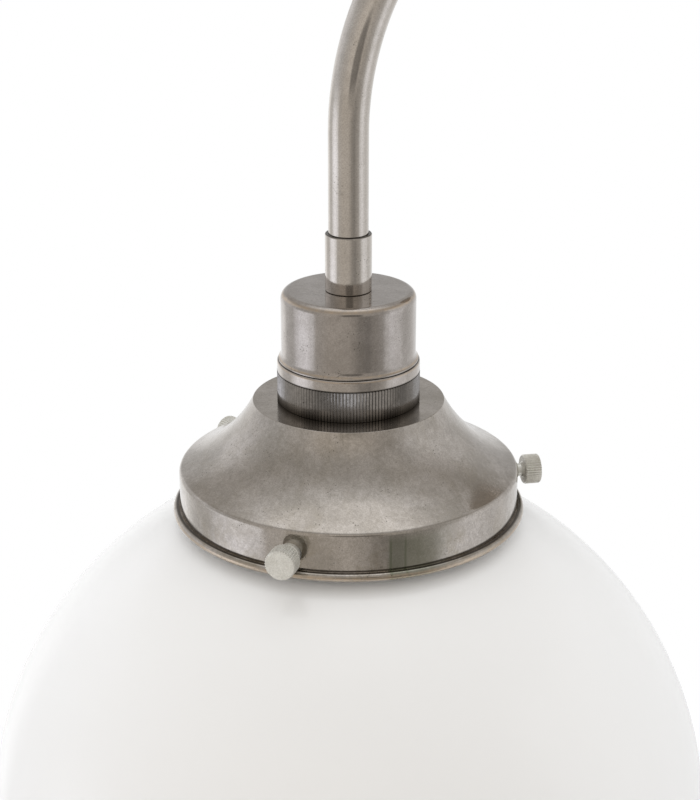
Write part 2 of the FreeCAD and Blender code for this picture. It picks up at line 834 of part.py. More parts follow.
def make_holder_terminals():
    """Two brass posts with stems through the insulator: live to the strip, neutral to the shell."""
    solids = []
    lows = ((-s.live_post_side.value, s.contact_chamber_top.value),
            (s.neutral_post_side.value, -s.shell_top.value))
    for side, low in lows:
        inward = -math.copysign(s.post_length.value / 2 - s.post_stem_diameter.value / 2, side)
        inward = inward if side > 0 else 0.0
        block = Part.makeBox(s.post_length.value, s.post_width.value, s.post_height.value)
        block.translate(Vector(side + inward - s.post_length.value / 2, -s.post_width.value / 2,
                               s.insulator_height.value))
        stem = Part.makeCylinder(s.post_stem_diameter.value / 2, s.insulator_height.value - low,
                                 Vector(side, 0, low))
        solids.append(block.fuse(stem).removeSplitter())
    feature("holder_terminals", Part.makeCompound(solids), "lamp")


def make_terminal_screws():
    """Screws on top of the two posts."""
    solids = []
    for side in (-s.live_post_side.value, s.neutral_post_side.value - s.post_stem_diameter.value / 2):
        screw = Part.makeCylinder(s.terminal_screw_head.value / 2, s.terminal_screw_height.value)
        slot = s.screw_slot.value
        span = s.terminal_screw_head.value + slot
        cutter = Part.makeBox(span, slot, slot, Vector(-span / 2, -slot / 2,
                                                       s.terminal_screw_height.value - slot))
        screw = screw.cut(cutter)
        screw.translate(Vector(side, 0, s.insulator_height.value + s.post_height.value))
        solids.append(screw)
    feature("terminal_screws", Part.makeCompound(solids), "lamp")


# Gallery and thumb screws.

def make_gallery():
    """Spun holder: flat top, hollow flare, upright band and rolled rim, with three bush holes."""
    sheet_metal = s.gallery_sheet
    hole = s.barrel_diameter / 2 + s.gallery_hole_gap
    edge = s.gallery_flat_diameter / 2
    band = s.band_diameter / 2
    inner = band - sheet_metal
    flare_top = (edge + s.flat_edge_reach, -s.flat_edge_drop)
    flare_foot = (band - s.shoulder_inset, -s.shoulder_drop)
    centre = arc_centre(flare_top, flare_foot, s.flare_radius, 1)
    hollow = s.flare_radius + sheet_metal
    depth = centre[1] + sheet_metal
    top_reach = centre[0] - root(hollow * hollow - depth * depth)
    side = centre[0] - inner
    shoulder_under = centre[1] - root(hollow * hollow - side * side)
    body = new_body("gallery")
    turn_outline(body, [
        (hole, 0.0), (edge - s.flat_edge, 0.0), flare_top + (s.flat_edge_round, -1),
        flare_foot + (s.flare_radius, 1),
        (band, -(s.shoulder_drop + s.shoulder_height), s.shoulder_round, -1),
    ] + bead_steps(band, -s.bead_drop, 1) + [
        (inner, -s.bead_drop), (inner, shoulder_under),
        (top_reach, -sheet_metal, hollow, -1), (hole, -sheet_metal),
    ])
    first = Outline(body, "YZ_Plane", "BushHole")
    first.circle(0.0, -s.screw_drop, s.bush_spigot_diameter / 2 + s.bush_gap)
    pocket = cut_pocket(body, first, s.screw_face_radius, reverse=True)
    pattern = body.newObject("PartDesign::PolarPattern", "BushHoles")
    pattern.Originals = [pocket]
    upright = [item for item in body.Origin.OriginFeatures if item.Role == "Z_Axis"][0]
    pattern.Axis = (upright, [""])
    pattern.Angle = 360.0
    bind(pattern, "Occurrences", s.screw_count)
    body.Tip = pattern
    seat(body, "lamp", turn=Rotation(Vector(0, 0, 1), s.screw_azimuth.value))
    bind(body, "Placement.Rotation.Angle", s.screw_azimuth)


def screw_turn(number):
    """Turn that lays an upright piece along one of the thumb screws' directions."""
    azimuth = s.screw_azimuth.value + 360.0 * number / s.screw_count.value
    return Rotation(Vector(0, 0, 1), azimuth) * Rotation(Vector(0, 1, 0), 90)


def turned_solid(steps):
    """Solid of revolution about the upright axis, from an outline of radius and height."""
    corners = [Vector(value_of(step[0]), 0, value_of(step[1])) for step in steps]
    return Part.Face(Part.makePolygon(corners + corners[:1])).revolve(Vector(), Vector(0, 0, 1), 360)


def make_screw_bushes():
    """Three flanged bushes riveted through the band, threaded for the thumb screws."""
    bore = s.screw_diameter / 2 + s.thread_gap
    spigot = s.bush_spigot_diameter / 2
    flange = s.bush_diameter / 2
    seat_radius = s.band_diameter / 2
    top = seat_radius + s.bush_height
    bush = turned_solid([
        (bore, seat_radius - s.gallery_sheet), (spigot, seat_radius - s.gallery_sheet),
        (spigot, seat_radius), (flange, seat_radius), (flange, top - s.bush_edge),
        (flange - s.bush_edge, top), (bore, top),
    ])
    solids = []
    for number in range(int(s.screw_count.value)):
        copy = bush.copy()
        copy.Placement = Placement(Vector(), screw_turn(number))
        solids.append(copy)
    feature("screw_bushes", Part.makeCompound(solids), "lamp", z=-s.screw_drop)


def make_thumb_screw(label, number):
    """Knurled thumb screw, drawn upright with its length measured from the lamp's axis."""
    face = s.screw_face_radius
    back = face - s.screw_head_length
    radius = s.screw_head_diameter / 2
    edge = s.screw_head_edge
    tip = s.neck_diameter / 2 + s.screw_tip_gap
    shank = s.screw_diameter / 2 - s.screw_clearance + s.thread_gap
    head = knurled_prism(radius, s.screw_head_teeth, s.screw_tooth_depth, s.screw_head_length)
    head.translate(Vector(0, 0, back.value))
    blank = turned_solid([
        (0.0, back), (radius - edge, back), (radius, back + edge), (radius, face - edge),
        (radius - edge, face), (0.0, face),
    ])
    hub = s.screw_hub_diameter / 2
    stem = turned_solid([
        (0.0, tip), (shank - edge, tip), (shank, tip + edge), (shank, back - s.screw_hub_length),
        (hub, back), (hub, back + edge), (0.0, back + edge),
    ])
    solid = head.common(blank).fuse(stem).removeSplitter()
    feature(label, solid, "lamp", z=-s.screw_drop, turn=screw_turn(number))


# Globe and bulb.

def make_globe():
    """Blown opal globe with a lipped neck that hangs on the thumb screws."""
    outer = s.globe_diameter / 2
    inner = outer - s.globe_wall
    neck = s.neck_diameter / 2
    bore = neck - s.globe_wall
    centre = -(s.neck_foot_drop + root(outer * outer - neck * neck))
    lip = s.lip_diameter / 2
    edge = s.lip_edge
    lip_top = lip_foot + s.lip_height
    turned_part("globe", [
        (bore, lip_top), (lip - edge, lip_top), (lip, lip_top - edge, edge, -1), (lip, lip_foot),
        (neck, lip_foot), (neck, -s.neck_foot_drop),
        (outer, centre, outer, -1), (0.0, centre - outer, outer, -1),
        (0.0, centre - inner), (inner, centre, inner, 1),
        (bore, centre + root(inner * inner - bore * bore), inner, 1),
    ])


def bulb_profile(inset):
    """Corners shared by the bulb's two shells: its neck, where they meet, and its widest circle."""
    radius = s.bulb_diameter / 2 - inset
    centre = s.bulb_contact_top - s.bulb_length + s.bulb_diameter / 2
    angle = math.radians(s.bulb_split_angle.value)
    rise = Size(math.sin(angle), "sin(Sizes.bulb_split_angle * 1deg)")
    reach = Size(math.cos(angle), "cos(Sizes.bulb_split_angle * 1deg)")
    neck = s.bulb_neck_diameter / 2 - inset
    return SimpleNamespace(radius=radius, centre=centre, split=(radius * reach, centre + radius * rise),
                           neck=(neck, barrel_foot - s.bulb_neck_gap))


def make_bulb_envelope():
    """Frosted dome of the bulb."""
    skin = bulb_profile(as_size(0))
    lining = bulb_profile(s.bulb_wall)
    turned_part("bulb_envelope", [
        lining.split + (lining.radius, 1), skin.split, (skin.radius, skin.centre, skin.radius, -1),
        (0.0, skin.centre - skin.radius, skin.radius, -1), (0.0, lining.centre - lining.radius),
        (lining.radius, lining.centre, lining.radius, 1),
    ])


def make_bulb_housing():
    """Moulded body of the bulb, from the cap's rim out to the dome."""
    skin = bulb_profile(as_size(0))
    lining = bulb_profile(s.bulb_wall)
    rim = s.thread_mean_diameter / 2
    floor = skin.neck[1] - s.bulb_wall
    turned_part("bulb_housing", [
        (rim - s.bulb_wall * 2, bulb_rim), (rim, bulb_rim), (rim, skin.neck[1]),
        skin.neck, skin.split + (s.bulb_flare_radius, 1), lining.split,
        (lining.neck[0], floor, s.bulb_flare_radius, -1), (rim - s.bulb_wall * 2, floor),
    ])


def make_bulb_board():
    """Round board that carries the emitters, just inside the housing."""
    lining = bulb_profile(s.bulb_wall)
    wide = lining.split
    narrow = (lining.neck[0], lining.neck[1] - s.bulb_wall)
    centre = arc_centre(wide, narrow, s.bulb_flare_radius, -1)
    depth = -s.board_drop
    rise = depth + s.board_thickness - centre[1]
    radius = centre[0] - root(s.bulb_flare_radius * s.bulb_flare_radius - rise * rise) - s.board_gap
    turned_part("bulb_board", ring_steps(radius, 0.0, s.board_thickness, depth))


def make_bulb_cap():
    """Screw cap of the bulb, in mesh with the shell's thread."""
    mean = s.thread_mean_diameter / 2
    low = -(s.thread_top + thread_length)
    bore = s.bulb_cap_bore / 2
    shoulder = -s.thread_top + s.bulb_cap_shoulder
    turned_part("bulb_cap", [
        (bore, bulb_rim + s.thread_gap), (mean, bulb_rim + s.thread_gap), (mean, low),
    ] + thread_steps(mean, low, True) + [
        (bore, shoulder), (bore - s.bulb_cap_shoulder, shoulder),
        (bore - s.bulb_cap_shoulder, -s.thread_top - s.shell_sheet), (bore, low),
    ])


def make_bulb_insulator():
    """Glass cone between the bulb's cap and its contact."""
    shoulder = -s.thread_top + s.bulb_cap_shoulder
    wide = s.bulb_cap_bore / 2 - s.bulb_cap_shoulder / 2
    top = shoulder + s.bulb_insulator_height
    turned_part("bulb_insulator", [
        (0.0, shoulder), (wide, shoulder), (s.bulb_contact_diameter / 2 + s.shell_sheet, top), (0.0, top),
    ])


def make_bulb_contact():
    """Domed contact in the middle of the bulb's cap."""
    radius = s.bulb_contact_diameter / 2
    foot = s.bulb_contact_top - s.bulb_contact_height
    dome = s.bulb_contact_height / 2
    curve = (radius * radius + dome * dome) / (dome * 2)
    turned_part("bulb_contact", [
        (0.0, foot), (radius, foot), (radius, s.bulb_contact_top - dome),
        (0.0, s.bulb_contact_top, curve, 1),
    ])


def make_parts():
    make_arm_tube()
    make_collar("wall_collar", "wall", boss_front)
    make_collar("lamp_collar", "lamp", cap_top)
    wall_stack = s.boss_height + s.rose_sheet + s.washer_height
    make_nipple("wall_nipple", "wall", boss_front, wall_stack)
    make_nipple("lamp_nipple", "lamp", cap_top, s.cap_wall)
    make_rose_washer()
    make_locknut("rose_locknut", "wall", rose_front - s.rose_sheet - s.washer_height - s.locknut_height)
    make_locknut("cap_locknut", "lamp", cap_top - s.cap_wall - s.locknut_height)
    make_wall_rose()
    make_rose_boss()
    make_wall_bracket()
    make_rose_screws()
    make_terminal_block()
    make_terminal_clamps()
    make_clamp_screws()
    make_earth_screw()
    make_holder_cap()
    make_holder_barrel()
    make_shade_ring("upper_shade_ring", s.ring_height, ring_foot)
    make_shade_ring("lower_shade_ring", s.lower_ring_height,
                    -(s.gallery_sheet + s.ring_gap + s.lower_ring_height))
    make_holder_insulator()
    make_screw_shell()
    make_centre_contact()
    make_holder_terminals()
    make_terminal_screws()
    make_gallery()
    make_screw_bushes()
    for number, name in enumerate(("right", "left", "front")):
        make_thumb_screw("thumb_screw_" + name, number)
    make_globe()
    make_bulb_envelope()
    make_bulb_housing()
    make_bulb_board()
    make_bulb_cap()
    make_bulb_insulator()
    make_bulb_contact()


def sub_parts():
    """The objects that are sub-parts of the light, not the shapes they are cut from."""
    kinds = ("PartDesign::Body", "Part::Feature", "Part::Cut")
    return [item for item in document.Objects if item.TypeId in kinds and not item.getParentGeoFeatureGroup()]


def write_parts():
    """Check every object, then write each sub-part to a file of its own."""
    document.recompute()
    for item in document.Objects:
        faults = [word for word in item.State if word in ("Invalid", "Error")]
        if faults:
            raise RuntimeError("%s is %s" % (item.Label, faults))
    parts = sub_parts()
    for item in parts:
        if item.Shape.isNull() or not item.Shape.isValid() or not item.Shape.Solids:
            raise RuntimeError("%s has no valid shape" % item.Label)
    os.makedirs("parts", exist_ok=True)
    for item in parts:
        item.Shape.exportStep("parts/%s.step" % item.Label)
        box = item.Shape.BoundBox
        print("%-18s solids %d  volume %10.1f  z %8.2f to %8.2f" % (
            item.Label, len(item.Shape.Solids), item.Shape.Volume, box.ZMin, box.ZMax))


make_parts()
write_parts()
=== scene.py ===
"""Looks of the wall light: aged metal, opal glass, a plain studio and the photograph's camera.

Metres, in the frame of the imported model: +Z is up, the wall is y = 0 and the light stands out towards -Y.
"""
import math

import bpy
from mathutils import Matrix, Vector


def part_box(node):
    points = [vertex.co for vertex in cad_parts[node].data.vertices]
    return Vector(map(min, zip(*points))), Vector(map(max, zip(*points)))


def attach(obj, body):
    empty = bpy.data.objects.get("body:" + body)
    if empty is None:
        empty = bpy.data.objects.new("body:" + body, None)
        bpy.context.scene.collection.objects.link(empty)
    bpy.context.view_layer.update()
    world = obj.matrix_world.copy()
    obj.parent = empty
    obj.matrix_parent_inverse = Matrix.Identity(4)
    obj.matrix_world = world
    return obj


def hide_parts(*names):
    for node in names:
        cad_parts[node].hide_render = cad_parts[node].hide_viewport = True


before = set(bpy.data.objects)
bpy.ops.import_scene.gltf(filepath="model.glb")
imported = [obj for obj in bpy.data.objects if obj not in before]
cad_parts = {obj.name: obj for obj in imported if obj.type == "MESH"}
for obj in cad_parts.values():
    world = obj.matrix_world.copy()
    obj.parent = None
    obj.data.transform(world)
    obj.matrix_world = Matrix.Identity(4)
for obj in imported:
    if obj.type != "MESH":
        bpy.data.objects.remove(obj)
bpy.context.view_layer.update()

MM = 0.001

# Camera, worked out from the ellipses of the cap, the gallery and the globe.
PHOTO_HEIGHT = 800
FOCAL_PIXELS = 1831.6
SENSOR = 36.0
CAMERA_AZIMUTH = math.radians(45.0)
CAMERA_PITCH = math.radians(20.92)
CAMERA_DISTANCE = 523.2 * MM
CAMERA_RISE = 199.1 * MM
CAMERA_SIDE = 0.46 * MM


def centre_of(node):
    low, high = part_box(node)
    return (Vector(low) + Vector(high)) / 2


lamp_axis = centre_of("holder_cap")
gallery_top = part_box("upper_shade_ring")[0][2] - 0.1 * MM


# Shader helpers.

class Shader:
    """Builds one node tree, with short calls for the nodes used here."""

    def __init__(self, tree):
        self.tree = tree
        self.tree.nodes.clear()

    def node(self, kind, **settings):
        made = self.tree.nodes.new(kind)
        for name, value in settings.items():
            setattr(made, name, value)
        return made

    def link(self, source, target):
        self.tree.links.new(source, target)

    def feed(self, socket, value):
        """Link a socket to another, or set its value."""
        if isinstance(value, bpy.types.NodeSocket):
            self.link(value, socket)
        else:
            socket.default_value = value

    def math(self, operation, first, second=0.0):
        made = self.node("ShaderNodeMath", operation=operation)
        self.feed(made.inputs[0], first)
        self.feed(made.inputs[1], second)
        return made.outputs[0]

    def weigh(self, first, second, share):
        """Sum of two values, with a share of the first and the rest of the second."""
        rest = self.math("MULTIPLY", second, 1.0 - share)
        return self.math("ADD", self.math("MULTIPLY", first, share), rest)

    def vector(self, x, y, z):
        made = self.node("ShaderNodeCombineXYZ")
        for socket, value in zip(made.inputs, (x, y, z)):
            self.feed(socket, value)
        return made.outputs[0]

    def dot(self, vector, direction):
        made = self.node("ShaderNodeVectorMath", operation="DOT_PRODUCT")
        self.link(vector, made.inputs[0])
        made.inputs[1].default_value = direction
        return made.outputs["Value"]

    def split(self, vector):
        made = self.node("ShaderNodeSeparateXYZ")
        self.link(vector, made.inputs[0])
        return made.outputs

    def noise(self, vector, scale, detail=4.0, roughness=0.55, distortion=0.0):
        made = self.node("ShaderNodeTexNoise")
        self.link(vector, made.inputs["Vector"])
        made.inputs["Scale"].default_value = scale
        made.inputs["Detail"].default_value = detail
        made.inputs["Roughness"].default_value = roughness
        made.inputs["Distortion"].default_value = distortion
        return made.outputs["Fac"]

    def cells(self, vector, scale):
        made = self.node("ShaderNodeTexVoronoi", feature="F1")
        self.link(vector, made.inputs["Vector"])
        made.inputs["Scale"].default_value = scale
        return made.outputs["Distance"]

    def spread(self, value, low, high, to_low=0.0, to_high=1.0, smooth=False):
        """Map a range to another, held at its ends."""
        made = self.node("ShaderNodeMapRange")
        made.interpolation_type = "SMOOTHSTEP" if smooth else "LINEAR"
        self.feed(made.inputs["Value"], value)
        for name, number in zip(("From Min", "From Max", "To Min", "To Max"), (low, high, to_low, to_high)):
            made.inputs[name].default_value = number
        return made.outputs["Result"]

    def mix(self, share, first, second):
        made = self.node("ShaderNodeMix", data_type="RGBA")
        self.feed(made.inputs["Factor"], share)
        for name, value in (("A", first), ("B", second)):
            socket = [item for item in made.inputs if item.name == name and item.type == "RGBA"][0]
            self.feed(socket, value if isinstance(value, bpy.types.NodeSocket) else (*value, 1.0))
        return [item for item in made.outputs if item.type == "RGBA"][0]

    def bump(self, height, distance, strength=1.0, below=None):
        made = self.node("ShaderNodeBump")
        made.inputs["Strength"].default_value = strength
        made.inputs["Distance"].default_value = distance
        self.link(height, made.inputs["Height"])
        if below is not None:
            self.link(below, made.inputs["Normal"])
        return made.outputs["Normal"]


def new_material(name):
    """A material, its shader builder, its principled node and the place in the frame being shaded."""
    material = bpy.data.materials.new(name)
    material.use_nodes = True
    shader = Shader(material.node_tree)
    output = shader.node("ShaderNodeOutputMaterial")
    surface = shader.node("ShaderNodeBsdfPrincipled")
    shader.link(surface.outputs[0], output.inputs["Surface"])
    place = shader.node("ShaderNodeTexCoord").outputs["Object"]
    return material, shader, surface, place


def turned_place(shader, place):
    """Radius, height and angle round the lamp's axis, for marks that follow the turning."""
    x, y, z = shader.split(place)
    x = shader.math("SUBTRACT", x, lamp_axis.x)
    y = shader.math("SUBTRACT", y, lamp_axis.y)
    square = shader.math("ADD", shader.math("MULTIPLY", x, x), shader.math("MULTIPLY", y, y))
    return shader.math("SQRT", square), z, shader.math("ARCTAN2", y, x)


def bands(shader, height, places):
    """Share near certain heights: a middle and a half width, in millimetres from the gallery's top."""
    share = None
    for middle, half in places:
        away = shader.math("ABSOLUTE", shader.math("SUBTRACT", height, gallery_top + middle * MM))
        near = shader.spread(away, 0.0, half * MM, 1.0, 0.0, smooth=True)
        share = near if share is None else shader.math("MAXIMUM", share, near)
    return share


def hairlines(shader, place, scale, width, amount):
    """Sparse thin wandering lines, like light scratches."""
    path = shader.noise(place, scale, 2.0, 0.4, 1.2)
    away = shader.math("ABSOLUTE", shader.math("SUBTRACT", path, 0.5))
    line = shader.spread(away, 0.0, width, 1.0, 0.0)
    where = shader.spread(shader.noise(place, scale * 1.7, 2.0), 1.0 - amount, 1.06 - amount)
    return shader.math("MULTIPLY", line, where)


# The stain on the gallery's band: the angles where it starts, ends and runs, and the height where it fades.
FACING = CAMERA_AZIMUTH - math.pi / 2
STAIN_FROM = FACING + math.radians(13.0)
STAIN_TO = FACING + math.radians(30.0)
STAIN_RUNS = (FACING + math.radians(13.4), FACING + math.radians(18.2))
STAIN_FADE = (gallery_top - 22.0 * MM, gallery_top - 25.0 * MM)


def band_stain(shader, height, angle):
    """Share of a greenish stain with two darker runs on the gallery's band, beside the front screw."""
    on_band = shader.spread(height, *STAIN_FADE)
    start = shader.spread(angle, STAIN_FROM - 0.03, STAIN_FROM + 0.02, smooth=True)
    end = shader.spread(angle, STAIN_TO - 0.16, STAIN_TO + 0.12, 1.0, 0.0, smooth=True)
    share = shader.math("MULTIPLY", shader.math("MULTIPLY", start, end), 0.55)
    for run in STAIN_RUNS:
        away = shader.math("ABSOLUTE", shader.math("SUBTRACT", angle, run))
        share = shader.math("MAXIMUM", share, shader.spread(away, 0.004, 0.016, 0.85, 0.0))
    return shader.math("MULTIPLY", share, on_band)


# Colours of the marks on the metal, of the painted shade in its seams, and the height over which its brown
# tarnish sets in.
STAIN = (0.21, 0.225, 0.16)
BRONZE = (0.53, 0.43, 0.33)
SEAM_SHADE = (0.055, 0.048, 0.04)
SCRATCH = (0.09, 0.08, 0.07)
BROWN = (0.27, 0.22, 0.13)
BROWN_FADE = (gallery_top - 24.0 * MM, gallery_top - 35.0 * MM)

# How the patina's noise is spread, how dark its spots, its dust and the painted seam shade are, and how deep
# its marks go.
PATINA_SPREAD = (0.38, 0.64)
ROUGH_SPREAD = (0.2, 0.8)
SPOT_SHADE = 0.62
DUST_SHADE = 0.6
SEAM_SHADE_SHARE = 0.9
MARK_DEPTH = 0.75
MARK_ROUGHNESS = 0.25

# Scales of the fine noises, per metre, and of the turning lines round the axis, per radian.
DUST_SCALE = 2400.0
BRUSHED_SCALE = 1500.0
TURNED_SCALE = 900.0
TURNED_SWEEP = 1.2

# Height and strength of the reliefs.
CLOUD_RELIEF = (0.35 * MM, 0.10)
LINE_RELIEF = (0.02 * MM, 0.22)
MARK_RELIEF = (0.03 * MM, 0.6)


def aged_metal(name, light, dark, rough, mottle=85.0, turned=True, tarnish=0.0, worn=(), shaded_seams=(),
               stained=False, metallic=1.0):
    """Plated metal with cloudy patina, turning lines, pits, scratches, worn edges and painted shade in its
    seams.
    """
    material, shader, surface, place = new_material(name)
    radius, height, angle = turned_place(shader, place)
    cloud = shader.noise(place, mottle, 7.0, 0.62, 0.35)
    grain = shader.noise(place, mottle * 9.0, 5.0, 0.7)
    patina = shader.spread(shader.weigh(cloud, grain, 0.62), *PATINA_SPREAD, smooth=True)
    pits = shader.spread(shader.cells(place, mottle * 12.0), 0.12, 0.22, 1.0, 0.0)
    sparse = shader.spread(shader.noise(place, mottle * 2.2, 2.0), 0.55, 0.66)
    marks = shader.math("MAXIMUM", shader.math("MULTIPLY", pits, sparse),
                        hairlines(shader, place, mottle * 1.3, 0.0035, 0.40))
    colour = shader.mix(patina, dark, light)
    spots = shader.spread(shader.noise(place, mottle * 2.6, 6.0, 0.7, 0.6), 0.52, 0.74, 0.0, 0.28)
    colour = shader.mix(spots, colour, tuple(channel * SPOT_SHADE for channel in dark))
    dust = shader.spread(shader.noise(place, DUST_SCALE, 2.0, 0.6), 0.35, 0.70, 0.0, 0.40)
    colour = shader.mix(dust, colour, tuple(channel * DUST_SHADE for channel in dark))
    if tarnish:
        low = shader.spread(height, *BROWN_FADE, 0.25, 1.0)
        brown = shader.spread(shader.noise(place, mottle * 1.1, 6.0, 0.7, 0.6), 0.46, 0.70, 0.0, tarnish)
        colour = shader.mix(shader.math("MULTIPLY", brown, low), colour, BROWN)
    if stained:
        colour = shader.mix(band_stain(shader, height, angle), colour, STAIN)
    if worn:
        rubbed = shader.spread(grain, 0.35, 0.6, 0.35, 1.0)
        colour = shader.mix(shader.math("MULTIPLY", bands(shader, height, worn), rubbed), colour, BRONZE)
    # Painted shade: near-black colour in bands at the seams and joints between parts, where shade falls.
    if shaded_seams:
        colour = shader.mix(shader.math("MULTIPLY", bands(shader, height, shaded_seams), SEAM_SHADE_SHARE), colour, SEAM_SHADE)
    colour = shader.mix(shader.math("MULTIPLY", marks, MARK_DEPTH), colour, SCRATCH)
    shader.link(colour, surface.inputs["Base Color"])
    surface.inputs["Metallic"].default_value = metallic
    smooth_rough, dull_rough = rough
    roughness = shader.spread(shader.weigh(patina, grain, 0.6), *ROUGH_SPREAD, dull_rough, smooth_rough)
    roughness = shader.math("ADD", roughness, shader.math("MULTIPLY", marks, MARK_ROUGHNESS))
    shader.link(roughness, surface.inputs["Roughness"])
    if turned:
        along = shader.vector(shader.math("MULTIPLY", radius, TURNED_SCALE),
                              shader.math("MULTIPLY", height, TURNED_SCALE),
                              shader.math("MULTIPLY", angle, TURNED_SWEEP))
        lines = shader.noise(along, 2.2, 3.0, 0.6)
    else:
        lines = shader.noise(place, BRUSHED_SCALE, 3.0, 0.6)
    hills = shader.bump(cloud, *CLOUD_RELIEF)
    normal = shader.bump(lines, *LINE_RELIEF, below=hills)
    normal = shader.bump(shader.math("SUBTRACT", 1.0, marks), *MARK_RELIEF, below=normal)
    shader.link(normal, surface.inputs["Normal"])
    return material


OPAL_TONES = ((0.885, 0.893, 0.90), (0.90, 0.908, 0.915))
OPAL_DEPTH = 6 * MM
OPAL_RIPPLE = (0.25 * MM, 0.10)


def opal_glass():
    """Glossy white cased glass, slightly translucent."""
    material, shader, surface, place = new_material("opal_glass")
    haze = shader.noise(place, 14.0, 3.0, 0.5)
    shader.link(shader.mix(haze, *OPAL_TONES), surface.inputs["Base Color"])
    surface.inputs["Subsurface Weight"].default_value = 0.25
    surface.inputs["Subsurface Radius"].default_value = (OPAL_DEPTH,) * 3
    surface.inputs["Subsurface Scale"].default_value = 1.0
    surface.inputs["IOR"].default_value = 1.5
    roughness = shader.spread(haze, 0.3, 0.7, 0.06, 0.12)
    shader.link(roughness, surface.inputs["Roughness"])
    ripples = shader.noise(place, 22.0, 2.0, 0.5)
    shader.link(shader.bump(ripples, *OPAL_RIPPLE), surface.inputs["Normal"])
    return material


GRAIN_DEPTH = 0.02 * MM


def plain_solid(name, colour, roughness, grain=600.0, wear=0.12):
    """Moulded, fired or pressed surface with a fine grain and slightly uneven tone."""
    material, shader, surface, place = new_material(name)
    tone = shader.noise(place, grain * 0.12, 4.0, 0.6)
    darker = tuple(channel * (1.0 - wear) for channel in colour)
    shader.link(shader.mix(tone, darker, colour), surface.inputs["Base Color"])
    fine = shader.noise(place, grain, 4.0, 0.6)
    rough = shader.spread(fine, 0.2, 0.8, roughness * 0.85, min(1.0, roughness * 1.2))
    shader.link(rough, surface.inputs["Roughness"])
    shader.link(shader.bump(fine, GRAIN_DEPTH, 0.3), surface.inputs["Normal"])
    return material


def height_of(node, end):
    """Height of a node's foot (0) or top (1), in millimetres from the gallery's top."""
    return (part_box(node)[end][2] - gallery_top) / MM


cap_foot, cap_top = height_of("holder_cap", 0), height_of("holder_cap", 1)
ring_foot, ring_top = height_of("upper_shade_ring", 0), height_of("upper_shade_ring", 1)
collar_top = height_of("lamp_collar", 1)
gallery_foot = height_of("gallery", 0)
BEAD_RADIUS = 1.3
bead_height = gallery_foot + BEAD_RADIUS

# The seam bands below (middle and half width, in millimetres) are painted shade at the joints between parts.
MATERIALS = {
    "tube_nickel": aged_metal("tube_nickel", (0.65, 0.605, 0.56), (0.58, 0.535, 0.485), (0.07, 0.13),
                              turned=False, shaded_seams=((cap_top, 0.35), (collar_top, 0.3))),
    "cap_nickel": aged_metal("cap_nickel", (0.51, 0.47, 0.44), (0.40, 0.365, 0.335), (0.06, 0.14),
                             worn=((cap_top - 0.9, 0.7), (cap_foot + 0.8, 0.5)),
                             shaded_seams=((cap_foot, 0.35),)),
    "gallery_nickel": aged_metal("gallery_nickel", (0.575, 0.53, 0.49), (0.405, 0.37, 0.33),
                                 (0.08, 0.19), tarnish=0.55, stained=True, worn=((bead_height, 1.0),),
                                 shaded_seams=((bead_height + BEAD_RADIUS, 0.16),)),
    "ring_nickel": aged_metal("ring_nickel", (0.40, 0.383, 0.37), (0.275, 0.262, 0.25), (0.12, 0.22),
                              shaded_seams=((ring_foot, 3.2), (ring_top, 0.4))),
    "flange_nickel": aged_metal("flange_nickel", (0.575, 0.53, 0.49), (0.45, 0.41, 0.375), (0.07, 0.15),
                                worn=((cap_foot - 0.5, 0.35),),
                                shaded_seams=((cap_foot, 0.3), (ring_top + 0.1, 0.5))),
    "screw_nickel": aged_metal("screw_nickel", (0.87, 0.865, 0.82), (0.68, 0.665, 0.61), (0.28, 0.45),
                               mottle=240.0, turned=False, metallic=0.55),
    "raw_brass": aged_metal("raw_brass", (0.80, 0.62, 0.30), (0.58, 0.42, 0.18), (0.22, 0.42)),
    "zinc_steel": aged_metal("zinc_steel", (0.66, 0.67, 0.68), (0.50, 0.51, 0.52), (0.30, 0.50),
                             turned=False),
    "porcelain": plain_solid("porcelain", (0.84, 0.82, 0.77), 0.25, grain=500.0),
    "opal_glass": opal_glass(),
    "bulb_housing": plain_solid("bulb_housing", (0.84, 0.84, 0.82), 0.45),
    "bulb_dome": plain_solid("bulb_dome", (0.90, 0.90, 0.88), 0.55, wear=0.03),
    "bulb_metal": aged_metal("bulb_metal", (0.78, 0.78, 0.78), (0.66, 0.66, 0.66), (0.22, 0.38)),
    "bulb_glass": plain_solid("bulb_glass", (0.04, 0.04, 0.05), 0.12),
    "circuit_board": plain_solid("circuit_board", (0.82, 0.83, 0.81), 0.4),
    "block_plastic": plain_solid("block_plastic", (0.82, 0.81, 0.76), 0.4),
}

NODE_MATERIALS = {
    "tube_nickel": ("arm_tube", "lamp_collar", "wall_collar", "wall_rose", "rose_boss"),
    "cap_nickel": ("holder_cap",),
    "gallery_nickel": ("gallery",),
    "flange_nickel": ("holder_barrel",),
    "ring_nickel": ("upper_shade_ring", "lower_shade_ring"),
    "screw_nickel": ("thumb_screw_right", "thumb_screw_left", "thumb_screw_front", "screw_bushes",
                     "rose_screws"),
    "raw_brass": ("wall_nipple", "lamp_nipple", "terminal_clamps", "earth_screw", "earth_washer",
                  "screw_shell", "centre_contact", "holder_terminals"),
    "zinc_steel": ("rose_washer", "rose_locknut", "cap_locknut", "wall_bracket", "clamp_screws",
                   "terminal_screws"),
    "porcelain": ("holder_insulator",),
    "opal_glass": ("globe",),
    "bulb_housing": ("bulb_housing",),
    "bulb_dome": ("bulb_envelope",),
    "bulb_metal": ("bulb_cap", "bulb_contact"),
    "bulb_glass": ("bulb_insulator",),
    "circuit_board": ("bulb_board",),
    "block_plastic": ("terminal_block",),
}


# Shading of the carried-over nodes.

SMOOTH_ANGLE = 28.0


